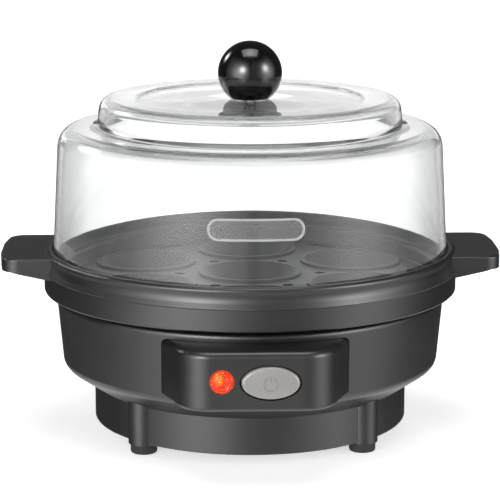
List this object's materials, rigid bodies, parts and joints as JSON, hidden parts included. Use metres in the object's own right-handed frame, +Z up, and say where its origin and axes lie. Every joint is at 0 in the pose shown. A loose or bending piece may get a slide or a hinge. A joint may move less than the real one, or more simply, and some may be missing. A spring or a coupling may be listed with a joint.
{
  "type": "egg cooker",
  "caption": "Round electric egg cooker with a clear stepped lid and ball knob, an egg tray with two side handles, and a base with a front pod, indicator lens and push button.",
  "frame": {"origin": "on the axis of the bowl, in the plane the four feet stand on", "axes": "+Z up; +X towards the right handle seen from the front; +Y towards the back, where the cord gland is; the control pod faces -Y"},
  "size_m": [0.1978, 0.1854, 0.1551],
  "materials": {
    "clear_plastic": "clear moulded polycarbonate",
    "badge": "blank frosted plaque",
    "gloss_black": "high gloss",
    "rubber_black": "moulded",
    "steel": "zinc plated",
    "charcoal": "fine satin moulding texture",
    "label": "blank printed film",
    "plate_coated": "dark non-stick coating",
    "silicone": "soft silicone",
    "element_steel": "heat-tinted sheath",
    "cast_alloy": "as cast",
    "steel_sheet": "plated sheet",
    "ceramic": "ceramic and steel cup",
    "fuse": "tinned can",
    "brass": "bright",
    "button_grey": "satin light grey",
    "switch_plastic": "moulded",
    "lens_orange": "translucent orange-red",
    "lamp_glass": "clear bulb",
    "sleeve": "glass-fibre sleeve",
    "resistor": "lacquered",
    "terminal_plastic": "nylon",
    "lead_brown": "silicone insulated",
    "lead_blue": "silicone insulated",
    "lead_green": "insulated",
    "lead_white": "insulated"
  },
  "bodies": {
    "base": {"base_housing": "charcoal", "control_pod": "charcoal", "bottom_shell": "charcoal", "foot_pads": "rubber_black", "housing_screws": "steel", "pod_screws": "steel", "rating_label": "label", "heating_plate": "plate_coated", "plate_seal": "silicone", "heating_element": "element_steel", "heater_casting": "cast_alloy", "plate_brackets": "steel_sheet", "bracket_screws": "steel", "thermostat": "ceramic", "thermostat_bracket": "steel_sheet", "thermostat_screws": "steel", "thermal_fuse": "fuse", "fuse_clip": "steel_sheet", "earth_tab": "brass", "button_spring": "steel", "switch_body": "switch_plastic", "indicator_lens": "lens_orange", "neon_lamp": "lamp_glass", "lamp_sleeve": "sleeve", "lamp_resistor": "resistor", "terminal_block": "terminal_plastic", "terminal_screws": "brass", "cord_gland": "rubber_black", "cord_clamp": "switch_plastic", "clamp_screws": "steel", "lead_live": "lead_brown", "lead_neutral": "lead_blue", "lead_earth": "lead_green", "lead_switched": "lead_brown", "lead_heater": "lead_brown", "lead_lamp": "lead_white"},
    "tray": {"egg_tray": "charcoal"},
    "lid": {"lid_dome": "clear_plastic", "lid_badge": "badge", "lid_knob": "gloss_black", "knob_washer": "rubber_black", "knob_screw": "steel"},
    "button": {"power_button": "button_grey"}
  },
  "joints": [
    {"name": "tray_lift", "type": "slide", "parent": "base", "child": "tray", "axis": [0, 0, 1], "range_m": [0, 0.05]},
    {"name": "lid_lift", "type": "slide", "parent": "tray", "child": "lid", "axis": [0, 0, 1], "range_m": [0, 0.09]},
    {"name": "button_press", "type": "slide", "parent": "base", "child": "button", "axis": [0, 1, 0], "range_m": [0, 0.002], "stiffness_N_per_m": 600, "springref_m": -0.001, "deforming": ["button_spring"]}
  ]
}
